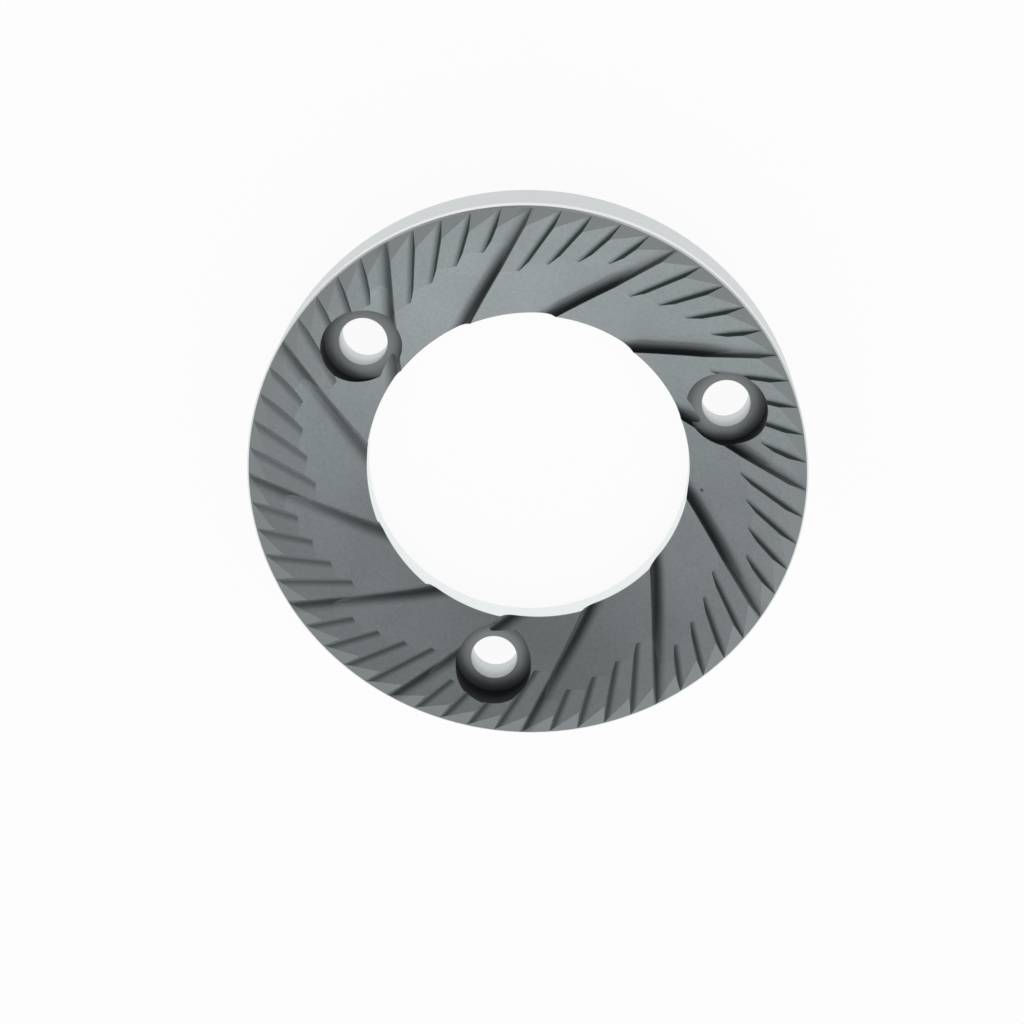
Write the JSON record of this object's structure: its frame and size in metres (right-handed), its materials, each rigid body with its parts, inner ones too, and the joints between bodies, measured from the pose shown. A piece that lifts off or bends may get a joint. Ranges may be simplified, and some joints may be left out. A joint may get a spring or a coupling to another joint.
{
  "type": "coffee grinder burr",
  "caption": "Flat steel coffee grinder burr: a ring with fine slanted cutting grooves and deep breaker teeth round a large bore, held by screws with sunk heads.",
  "frame": {"origin": "centre of the flat back face, on the ring's axis", "axes": "+Z along the ring's axis from the back face to the toothed face, +Y towards one screw hole"},
  "size_m": [0.064, 0.064, 0.0085],
  "materials": {
    "burr_steel": "ground satin steel, dark in the roots of the teeth"
  },
  "bodies": {
    "root": {"burr": "burr_steel"}
  },
  "joints": []
}
